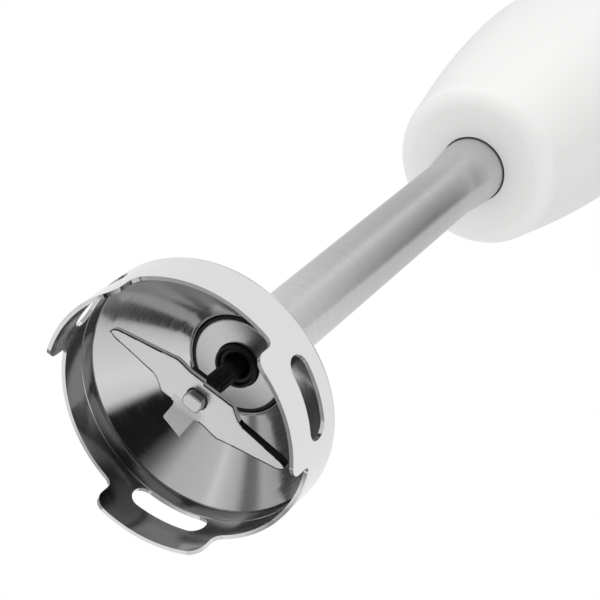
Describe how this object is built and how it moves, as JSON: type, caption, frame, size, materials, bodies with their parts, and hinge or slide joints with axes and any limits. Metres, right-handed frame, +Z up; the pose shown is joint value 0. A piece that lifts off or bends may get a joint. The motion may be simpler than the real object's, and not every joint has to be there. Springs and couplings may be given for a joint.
{
  "type": "immersion blender",
  "caption": "Hand-held immersion blender: a white motor body with a detachable steel foot whose lobed, slotted bell guards a flat two-winged blade.",
  "frame": {"origin": "on the drive axis, level with the flat ends of the lobes that the bell guard stands on", "axes": "+Z up along the drive axis from the bell to the speed dial; -X is the side of the buttons and of the foot release, +X the side of the cord gland"},
  "size_m": [0.066, 0.066, 0.405],
  "materials": {
    "polished_steel": "mirror polished outside, fine brushed inside",
    "brushed_steel": "satin",
    "ground_steel": "fine ground",
    "shaft_steel": "turned",
    "spring_steel": "drawn",
    "lamination": "stacked sheet",
    "white_plastic": "gloss moulded",
    "grey_plastic": "satin moulded",
    "black_plastic": "moulded",
    "black_rubber": "moulded",
    "sintered_bronze": "sintered",
    "copper": "enamelled wire",
    "carbon": "pressed carbon",
    "circuit_board": "coated laminate"
  },
  "bodies": {
    "motor_body": {"nose_cone": "white_plastic", "socket_liner": "black_plastic", "front_shell": "white_plastic", "rear_shell": "white_plastic", "shell_screw_1": "shaft_steel", "shell_screw_2": "shaft_steel", "top_cap": "white_plastic", "cord_gland": "grey_plastic", "cord_clamp": "grey_plastic", "button_bezel": "grey_plastic", "power_switch": "black_plastic", "turbo_switch": "black_plastic", "circuit_board": "circuit_board", "speed_regulator": "black_plastic", "lower_bracket": "lamination", "lower_ball_bearing": "shaft_steel", "stator_core": "lamination", "field_coil_rear": "copper", "field_coil_front": "copper", "upper_bracket": "lamination", "upper_ball_bearing": "shaft_steel", "brush_holder_left": "sintered_bronze", "brush_holder_right": "sintered_bronze", "carbon_brush_left": "carbon", "carbon_brush_right": "carbon", "brush_spring_left": "spring_steel", "brush_spring_right": "spring_steel", "motor_mount_lower": "black_rubber", "motor_mount_upper": "black_rubber", "release_spring": "spring_steel"},
    "foot": {"blade_guard": "polished_steel", "bearing_cap": "brushed_steel", "lip_seal": "black_rubber", "lower_bush": "sintered_bronze", "shaft_tube": "brushed_steel", "shaft_guide": "grey_plastic", "foot_plug": "grey_plastic", "plug_seal": "black_rubber", "upper_bush": "sintered_bronze"},
    "blade_unit": {"drive_shaft": "shaft_steel", "blade_carrier": "black_plastic", "blade": "ground_steel", "shaft_clip": "spring_steel", "foot_coupling": "black_plastic"},
    "rotor": {"motor_coupling": "black_plastic", "armature_shaft": "shaft_steel", "cooling_fan": "black_plastic", "rotor_core": "lamination", "rotor_coil_lower": "copper", "rotor_coil_upper": "copper", "commutator": "copper"},
    "release": {"release_button": "grey_plastic", "release_latch": "spring_steel"},
    "power": {"power_button": "white_plastic", "power_plunger": "black_plastic"},
    "turbo": {"turbo_button": "white_plastic", "turbo_plunger": "black_plastic"},
    "dial": {"speed_dial": "grey_plastic", "dial_spindle": "black_plastic"}
  },
  "joints": [
    {"name": "foot_release", "type": "slide", "parent": "motor_body", "child": "foot", "axis": [0, 0, -1], "range_m": [0, 0.035]},
    {"name": "motor_spin", "type": "hinge", "parent": "motor_body", "child": "rotor", "pos_m": [0, 0, 0.27], "axis": [0, 0, 1], "continuous": true},
    {"name": "blade_spin", "type": "hinge", "parent": "foot", "child": "blade_unit", "pos_m": [0, 0, 0.014], "axis": [0, 0, 1], "continuous": true},
    {"name": "release_press", "type": "slide", "parent": "motor_body", "child": "release", "axis": [1, 0, 0], "range_m": [0, 0.0025], "stiffness_N_per_m": 1200, "springref_m": -0.0015, "deforming": ["release_spring"]},
    {"name": "power_press", "type": "slide", "parent": "motor_body", "child": "power", "axis": [1, 0, 0], "range_m": [0, 0.002], "stiffness_N_per_m": 1000, "springref_m": -0.001},
    {"name": "turbo_press", "type": "slide", "parent": "motor_body", "child": "turbo", "axis": [1, 0, 0], "range_m": [0, 0.002], "stiffness_N_per_m": 1000, "springref_m": -0.001},
    {"name": "dial_turn", "type": "hinge", "parent": "motor_body", "child": "dial", "pos_m": [0, 0, 0.398], "axis": [0, 0, 1], "range_deg": [0, 270]}
  ],
  "couplings": [
    {"joint": "blade_spin", "follows": "motor_spin", "ratio": 1}
  ]
}
